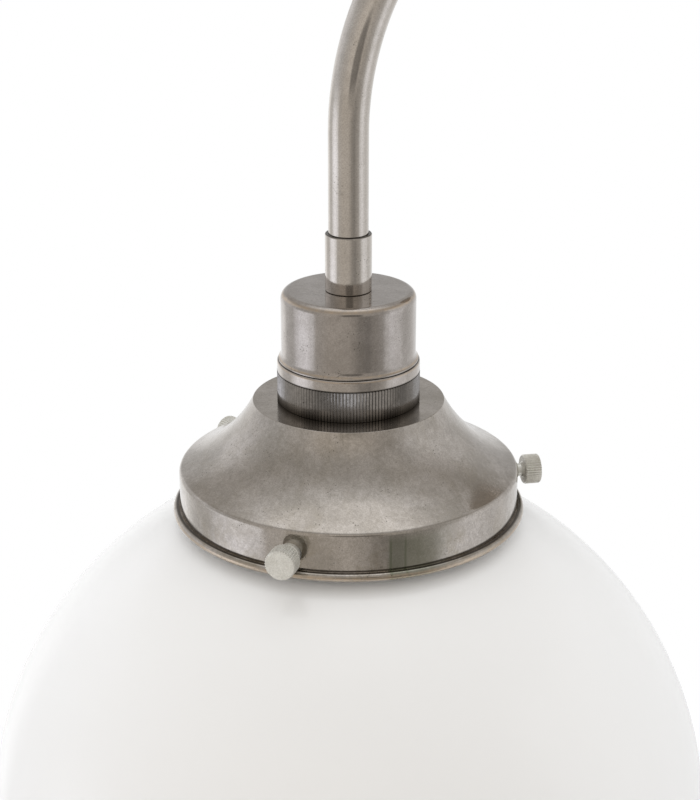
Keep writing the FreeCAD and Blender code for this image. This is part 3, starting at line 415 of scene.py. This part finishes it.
def smoothing_group():
    """Geometry nodes that smooth a mesh and keep edges sharper than an angle."""
    group = bpy.data.node_groups.new("smooth_by_angle", "GeometryNodeTree")
    group.interface.new_socket("Geometry", in_out="INPUT", socket_type="NodeSocketGeometry")
    group.interface.new_socket("Geometry", in_out="OUTPUT", socket_type="NodeSocketGeometry")
    nodes, links = group.nodes, group.links
    entry = nodes.new("NodeGroupInput")
    leave = nodes.new("NodeGroupOutput")
    angle = nodes.new("GeometryNodeInputMeshEdgeAngle")
    sharp = nodes.new("FunctionNodeCompare")
    sharp.data_type = "FLOAT"
    sharp.operation = "LESS_EQUAL"
    sharp.inputs["B"].default_value = math.radians(SMOOTH_ANGLE)
    edges = nodes.new("GeometryNodeSetShadeSmooth")
    edges.domain = "EDGE"
    faces = nodes.new("GeometryNodeSetShadeSmooth")
    faces.domain = "FACE"
    links.new(entry.outputs[0], faces.inputs["Geometry"])
    links.new(faces.outputs[0], edges.inputs["Geometry"])
    links.new(angle.outputs["Unsigned Angle"], sharp.inputs["A"])
    links.new(sharp.outputs[0], edges.inputs["Shade Smooth"])
    links.new(edges.outputs[0], leave.inputs[0])
    return group


smoothing = smoothing_group()


def smooth(piece):
    piece.modifiers.new("smooth", "NODES").node_group = smoothing


def dress_nodes():
    """Give each node its material and smooth shading."""
    for material, nodes in NODE_MATERIALS.items():
        for node in nodes:
            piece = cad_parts[node]
            for slot in piece.material_slots:
                slot.material = MATERIALS[material]
            smooth(piece)


dress_nodes()


# Turned pieces drawn finer than the carried-over meshes, with the small rounds that catch the light.

TURN_STEPS = 256
ARC_STEPS = 22
EDGE_STEPS = 4
EDGE_STEPS_PER_MM = 5
FLARE_STEPS = 10
SHOULDER_STEPS = 8
FINE_EDGE = 0.14

# Most of a side that a round takes, and the round with the point beside it.
ROUND_SHARE = 0.4
SIDE_SHARE = 0.45


def swing(centre, start, stop, steps):
    """Points round a centre from one place to another, the short way."""
    first, last = start - centre, stop - centre
    begin = math.atan2(first.y, first.x)
    turn = (math.atan2(last.y, last.x) - begin + math.pi) % (2 * math.pi) - math.pi
    angles = [begin + turn * step / steps for step in range(steps + 1)]
    return [centre + Vector((math.cos(angle), math.sin(angle))) * first.length for angle in angles]


def fillet(before, corner, after, size):
    """Points of a round at a corner, with a point close by on each side to keep the faces beside it flat."""
    inward, onward = (before - corner), (after - corner)
    spans = inward.length, onward.length
    inward.normalize()
    onward.normalize()
    half = inward.angle(onward) / 2
    reach = min(size / math.tan(half), spans[0] * ROUND_SHARE, spans[1] * ROUND_SHARE)
    radius = reach * math.tan(half)
    centre = corner + (inward + onward).normalized() * (radius / math.sin(half))
    steps = max(EDGE_STEPS, round(radius * EDGE_STEPS_PER_MM))
    points = swing(centre, corner + inward * reach, corner + onward * reach, steps)
    before = corner + inward * min(reach + FINE_EDGE, spans[0] * SIDE_SHARE)
    after = corner + onward * min(reach + FINE_EDGE, spans[1] * SIDE_SHARE)
    return [before] + points + [after]


def arc_centre(start, stop, radius, side):
    """Centre of an arc between two places; side is 1 with the centre on the left of the way along it."""
    start, stop = Vector(start), Vector(stop)
    way = stop - start
    rise = math.sqrt(radius * radius - way.length_squared / 4) * side
    return (start + stop) / 2 + Vector((-way.y, way.x)).normalized() * rise


def arc(start, stop, radius, side, steps):
    """Corners along an arc between two places."""
    centre = arc_centre(start, stop, radius, side)
    return [(*point, 0.0) for point in swing(centre, Vector(start), Vector(stop), steps)]


def lathe(name, node, material, corners):
    """Turn (radius, height, round) corners, in millimetres from the lamp's axis and the gallery's top."""
    outline = []
    for index, (radius, height, size) in enumerate(corners):
        here = Vector((radius, height))
        if size:
            before = Vector(corners[index - 1][:2])
            after = Vector(corners[(index + 1) % len(corners)][:2])
            outline += fillet(before, here, after, size)
        else:
            outline.append(here)
    vertices = []
    for turn in range(TURN_STEPS):
        angle = 2 * math.pi * turn / TURN_STEPS
        outwards = Vector((math.cos(angle), math.sin(angle), 0.0))
        foot = Vector((lamp_axis.x, lamp_axis.y, gallery_top))
        vertices += [foot + outwards * point.x * MM + Vector((0.0, 0.0, point.y * MM)) for point in outline]
    count = len(outline)
    faces = []
    for turn in range(TURN_STEPS):
        here, there = turn * count, (turn + 1) % TURN_STEPS * count
        for index in range(count):
            following = (index + 1) % count
            faces.append((here + index, there + index, there + following, here + following))
    mesh = bpy.data.meshes.new(name)
    mesh.from_pydata(vertices, [], faces)
    mesh.materials.append(MATERIALS[material])
    mesh.shade_smooth()
    piece = bpy.data.objects.new(name, mesh)
    bpy.context.collection.objects.link(piece)
    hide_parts(node)
    return piece


CAP_RADIUS = 20.35
CAP_WALL = 1.2
CAP_EDGE = 2.4
CAP_STEP = 0.5
CAP_FLARE = 1.9
NIPPLE_HOLE = 5.05


def make_cap():
    foot = (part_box("holder_cap")[1][0] - lamp_axis.x) / MM
    spread = foot - CAP_RADIUS
    flare = (spread * spread + CAP_FLARE * CAP_FLARE) / (spread * 2)
    inner = CAP_RADIUS - CAP_WALL
    flare_foot = (foot, cap_foot + CAP_STEP)
    flare_top = (CAP_RADIUS, cap_foot + CAP_STEP + CAP_FLARE)
    return lathe("cap", "holder_cap", "cap_nickel", [
        (NIPPLE_HOLE, cap_top - CAP_WALL, 0.0), (inner, cap_top - CAP_WALL, CAP_EDGE - CAP_WALL),
        (inner, cap_foot, 0.0), (foot, cap_foot, FINE_EDGE), (*flare_foot, FINE_EDGE),
        *arc(flare_foot, flare_top, flare, -1, FLARE_STEPS)[1:],
        (CAP_RADIUS, cap_top, CAP_EDGE), (NIPPLE_HOLE, cap_top, 0.0),
    ])


SOCKET_RADIUS = 6.05
SOCKET_DEPTH = 10.0
COLLAR_RIM = 0.6


def make_collar():
    outer = (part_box("lamp_collar")[1][0] - lamp_axis.x) / MM
    return lathe("collar", "lamp_collar", "tube_nickel", [
        (NIPPLE_HOLE, cap_top, 0.0), (outer, cap_top, FINE_EDGE * 2), (outer, collar_top, COLLAR_RIM),
        (SOCKET_RADIUS, collar_top, 0.0), (SOCKET_RADIUS, collar_top - SOCKET_DEPTH, 0.0),
        (NIPPLE_HOLE, collar_top - SOCKET_DEPTH, 0.0),
    ])


BARREL_RADIUS = 19.75
BARREL_BORE = 18.0
BARREL_LIP_BORE = 16.5
BARREL_LIP = 1.2
FLANGE_EDGE = 0.6
SPIGOT_RADIUS = 19.1
SEAM = 0.05
RING_GAP = 0.1


def make_barrel():
    foot, top = height_of("holder_barrel", 0), height_of("holder_barrel", 1)
    flange = (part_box("holder_barrel")[1][0] - lamp_axis.x) / MM
    flange_foot, flange_top = ring_top + RING_GAP, cap_foot - SEAM
    return lathe("barrel", "holder_barrel", "flange_nickel", [
        (BARREL_LIP_BORE, foot, 0.0), (BARREL_RADIUS, foot, FINE_EDGE), (BARREL_RADIUS, flange_foot, 0.0),
        (flange, flange_foot, FINE_EDGE), (flange, flange_top, FLANGE_EDGE), (SPIGOT_RADIUS, flange_top, 0.0),
        (SPIGOT_RADIUS, top, FINE_EDGE), (BARREL_BORE, top, FINE_EDGE), (BARREL_BORE, foot + BARREL_LIP, 0.0),
        (BARREL_LIP_BORE, foot + BARREL_LIP, 0.0),
    ])


GALLERY_SHEET = 1.0
GALLERY_HOLE = 20.0
FLAT_EDGE = (29.2, 0.0, 0.4)
FLARE_TOP = (29.332, -0.27)
FLARE_RADIUS = 46.0
FLARE_FOOT = (51.4, -21.5)
BAND_RADIUS = 52.3
BAND_TOP = -22.95
SHOULDER_ROUND = 1.6
BEAD_OVERHANG = 0.8
THUMB_SCREWS = ("thumb_screw_right", "thumb_screw_left", "thumb_screw_front")
BUSH_HOLE = 2.59
HOLE_MARGIN = 2.8
DRILL_SIDES = 48
DRILL_LENGTH = 16 * MM


def drill(piece, nodes, radius):
    """Cut a hole through the piece along the lamp's radius at each node."""
    for node in nodes:
        middle = centre_of(node)
        bpy.ops.mesh.primitive_cylinder_add(vertices=DRILL_SIDES, radius=radius * MM, depth=DRILL_LENGTH,
                                            location=middle)
        cutter = bpy.context.object
        outwards = Vector((middle.x - lamp_axis.x, middle.y - lamp_axis.y, 0.0))
        cutter.rotation_euler = outwards.to_track_quat("Z", "Y").to_euler()
        cut = piece.modifiers.new("hole", "BOOLEAN")
        cut.object = cutter
        cut.operation = "DIFFERENCE"
        cut.solver = "EXACT"
        drilled = bpy.data.meshes.new_from_object(piece.evaluated_get(bpy.context.evaluated_depsgraph_get()))
        piece.modifiers.clear()
        piece.data = drilled
        bpy.data.objects.remove(cutter)


def make_gallery():
    inner = BAND_RADIUS - GALLERY_SHEET
    centre = BAND_RADIUS + BEAD_OVERHANG
    lift = math.sqrt(BEAD_RADIUS ** 2 - BEAD_OVERHANG ** 2)
    start = math.atan2(lift, -BEAD_OVERHANG)
    bead = [(centre + BEAD_RADIUS * math.cos(angle), bead_height + BEAD_RADIUS * math.sin(angle), 0.0)
            for angle in (start - (start + math.pi) * step / ARC_STEPS for step in range(ARC_STEPS + 1))]
    holes = (centre_of(THUMB_SCREWS[0]).z - gallery_top) / MM
    beside_holes = (holes + HOLE_MARGIN, holes - HOLE_MARGIN)
    bend = arc_centre(FLARE_TOP, FLARE_FOOT, FLARE_RADIUS, 1)
    hollow = FLARE_RADIUS + GALLERY_SHEET
    under_top = (bend.x - math.sqrt(hollow ** 2 - (bend.y + GALLERY_SHEET) ** 2), -GALLERY_SHEET)
    under_foot = (inner, bend.y - math.sqrt(hollow ** 2 - (bend.x - inner) ** 2))
    corners = [(GALLERY_HOLE, 0.0, FINE_EDGE), FLAT_EDGE]
    corners += arc(FLARE_TOP, FLARE_FOOT, FLARE_RADIUS, 1, ARC_STEPS * 2)
    corners += arc(FLARE_FOOT, (BAND_RADIUS, BAND_TOP), SHOULDER_ROUND, -1, SHOULDER_STEPS)[1:]
    corners += [(BAND_RADIUS, height, 0.0) for height in beside_holes] + bead
    corners += [(inner, bead_height, 0.0)] + [(inner, height, 0.0) for height in reversed(beside_holes)]
    corners += arc(under_foot, under_top, hollow, -1, ARC_STEPS) + [(GALLERY_HOLE, -GALLERY_SHEET, FINE_EDGE)]
    piece = lathe("gallery_shell", "gallery", "gallery_nickel", corners)
    drill(piece, THUMB_SCREWS, BUSH_HOLE)
    return piece


for piece in (make_cap(), make_collar(), make_barrel(), make_gallery()):
    smooth(piece)
    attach(piece, "light")


# Studio.

def stepped_ramp(shader, value, stops):
    """Colour ramp from (position, colour) stops, in rising order."""
    ramp = shader.node("ShaderNodeValToRGB")
    shader.link(value, ramp.inputs["Fac"])
    ramp.color_ramp.interpolation = "EASE"
    elements = ramp.color_ramp.elements
    elements.remove(elements[1])
    elements[0].position = stops[0][0]
    elements[0].color = (*stops[0][1], 1.0)
    for position, colour in stops[1:]:
        elements.new(position).color = (*colour, 1.0)
    return ramp.outputs["Color"]


WARM_LIGHT = (1.0, 0.945, 0.875)
COOL_LIGHT = (0.965, 0.985, 1.05)


def light_tone(value, warmth):
    """Light of a given brightness, from cool daylight at -1 to a warm interior at 1."""
    far = WARM_LIGHT if warmth > 0 else COOL_LIGHT
    return tuple(value * (1.0 + (channel - 1.0) * abs(warmth)) for channel in far)


# Walls of the room below and above eye level, by direction in degrees from the camera's side: brightness
# and warmth.
LOW_WALLS = (
    (-180, 0.88, 0.0), (-163, 1.05, 0.0), (-142, 1.15, 0.0), (-126, 0.78, 0.0), (-110, 0.72, 0.0),
    (-96, 1.10, -0.8), (-90, 1.30, -1.0), (-77, 1.32, -1.0), (-64, 1.06, -0.6), (-55, 0.62, 0.6),
    (-30, 0.61, 1.0), (0, 0.59, 1.0), (8, 0.50, 1.0), (20, 0.37, 0.9), (33, 0.32, 0.8), (45, 0.41, 0.8),
    (58, 0.50, 0.5), (68, 0.84, -0.2), (78, 1.02, -0.5), (97, 0.93, -0.3), (110, 0.74, 0.0),
    (128, 0.80, 0.0), (150, 0.90, 0.0), (180, 0.88, 0.0),
)
HIGH_WALLS = (
    (-180, 0.60, 0.0), (-158, 0.64, 0.0), (-138, 0.92, -0.4), (-112, 0.80, -0.4), (-90, 0.62, 0.0),
    (-60, 0.58, 0.6), (-30, 0.66, 1.0), (0, 0.70, 1.0), (25, 0.56, 1.0), (45, 0.50, 0.8), (62, 0.56, 0.4),
    (80, 0.86, -0.2), (95, 0.82, 0.0), (118, 0.76, 0.0), (138, 0.70, 0.0), (160, 0.56, 0.0), (180, 0.60, 0.0),
)

# Heights of a direction between which the low walls give way to the high ones.
WALL_BLEND = (-0.2, 0.2)

# Someone dark beside the camera: the direction's turn and rise, the soft edge of the shape and its foot.
ONLOOKER = (math.radians(5.0), math.radians(12.0))
ONLOOKER_EDGE = (math.cos(math.radians(23.0)), math.cos(math.radians(12.0)))
ONLOOKER_FOOT = (-0.08, 0.1)
ONLOOKER_DIMS = 0.6
ONLOOKER_COLOUR = (0.02, 0.02, 0.02)

# Ceiling, by the cosine of the angle from its bright middle, and where it takes over from the walls.
CEILING_STOPS = (
    (0.0, 0.57, 0.5), (0.60, 0.54, 0.5), (0.72, 0.53, 0.5), (0.82, 0.62, 0.3), (0.90, 0.82, 0.0),
    (0.955, 1.12, 0.0), (1.0, 1.22, 0.0),
)
CEILING_BLEND = (0.44, 0.66)
CEILING_LEAN = math.radians(12.0)

# Strength of the room's light on matt surfaces, against the plain room that gloss shows.
DIFFUSE_GAIN = 1.77

FLOOR_SIZE = 3.2
FLOOR_CENTRE = (0.0, -0.6, -1.9)
FLOOR_TONES = ((0.80, 0.80, 0.80), (0.84, 0.84, 0.84))


def towards_camera():
    """Level direction from the light to the camera."""
    return Vector((math.sin(CAMERA_AZIMUTH), -math.cos(CAMERA_AZIMUTH), 0.0))


def wall_ramp(shader, turn, stops):
    """Light of the walls all round, by the turn from the camera's side."""
    around = shader.spread(turn, -math.pi, math.pi)
    return stepped_ramp(shader, around, [(degrees / 360.0 + 0.5, light_tone(value, warmth))
                                         for degrees, value, warmth in stops])


def make_room():
    """World: white for the camera; bright and dim stretches of wall and ceiling for light and gloss."""
    world = bpy.data.worlds.new("room")
    bpy.context.scene.world = world
    world.use_nodes = True
    shader = Shader(world.node_tree)
    output = shader.node("ShaderNodeOutputWorld")
    lit = shader.node("ShaderNodeBackground")
    seen = shader.node("ShaderNodeBackground")
    seen.inputs["Color"].default_value = (1.0, 1.0, 1.0, 1.0)
    direction = shader.node("ShaderNodeTexCoord").outputs["Generated"]
    x, y, z = shader.split(direction)
    azimuth = shader.math("ARCTAN2", y, x)
    turn = shader.math("WRAP", shader.math("SUBTRACT", azimuth, CAMERA_AZIMUTH - math.pi / 2), math.pi)
    turn.node.inputs[2].default_value = -math.pi
    low, high = [wall_ramp(shader, turn, stops) for stops in (LOW_WALLS, HIGH_WALLS)]
    walls = shader.mix(shader.spread(z, *WALL_BLEND, smooth=True), low, high)
    facing = math.atan2(towards_camera().y, towards_camera().x) + ONLOOKER[0]
    onlooker = Vector((math.cos(facing), math.sin(facing), math.tan(ONLOOKER[1]))).normalized()
    shade = shader.spread(shader.dot(direction, onlooker), *ONLOOKER_EDGE, 0.0, ONLOOKER_DIMS, smooth=True)
    shade = shader.math("MULTIPLY", shade, shader.spread(z, *ONLOOKER_FOOT))
    walls = shader.mix(shade, walls, ONLOOKER_COLOUR)
    lean = Vector((0.0, 0.0, math.cos(CEILING_LEAN))) - towards_camera() * math.sin(CEILING_LEAN)
    nearness = shader.dot(direction, lean)
    ceiling = stepped_ramp(shader, shader.spread(nearness, 0.0, 1.0), [
        (position, light_tone(value, warmth)) for position, value, warmth in CEILING_STOPS])
    overhead = shader.spread(nearness, *CEILING_BLEND, smooth=True)
    shader.link(shader.mix(overhead, walls, ceiling), lit.inputs["Color"])
    path = shader.node("ShaderNodeLightPath")
    strength = shader.spread(path.outputs["Is Diffuse Ray"], 0.0, 1.0, 1.0, DIFFUSE_GAIN)
    shader.link(strength, lit.inputs["Strength"])
    choose = shader.node("ShaderNodeMixShader")
    shader.link(path.outputs["Is Camera Ray"], choose.inputs["Fac"])
    shader.link(lit.outputs[0], choose.inputs[1])
    shader.link(seen.outputs[0], choose.inputs[2])
    shader.link(choose.outputs[0], output.inputs["Surface"])


def make_floor():
    """Plain pale floor, well below the light."""
    bpy.ops.mesh.primitive_plane_add(size=FLOOR_SIZE, location=FLOOR_CENTRE)
    floor = bpy.context.object
    floor.name = "floor"
    material, shader, surface, place = new_material("floor")
    tone = shader.noise(place, 3.0, 3.0)
    shader.link(shader.mix(tone, *FLOOR_TONES), surface.inputs["Base Color"])
    surface.inputs["Roughness"].default_value = 0.8
    floor.data.materials.append(material)


def make_camera():
    """The photograph's camera."""
    across = Vector((math.cos(CAMERA_AZIMUTH), math.sin(CAMERA_AZIMUTH), 0.0))
    place = Vector((lamp_axis.x, lamp_axis.y, gallery_top + CAMERA_RISE))
    place += across * CAMERA_SIDE + towards_camera() * CAMERA_DISTANCE
    data = bpy.data.cameras.new("camera")
    data.sensor_fit = "VERTICAL"
    data.sensor_height = SENSOR
    data.lens = FOCAL_PIXELS * SENSOR / PHOTO_HEIGHT
    data.clip_start = 0.01
    camera = bpy.data.objects.new("camera", data)
    bpy.context.collection.objects.link(camera)
    camera.location = place
    camera.rotation_euler = (math.pi / 2 - CAMERA_PITCH, 0.0, CAMERA_AZIMUTH)
    bpy.context.scene.camera = camera


make_room()
make_floor()
make_camera()
bpy.context.scene.view_settings.view_transform = "Standard"
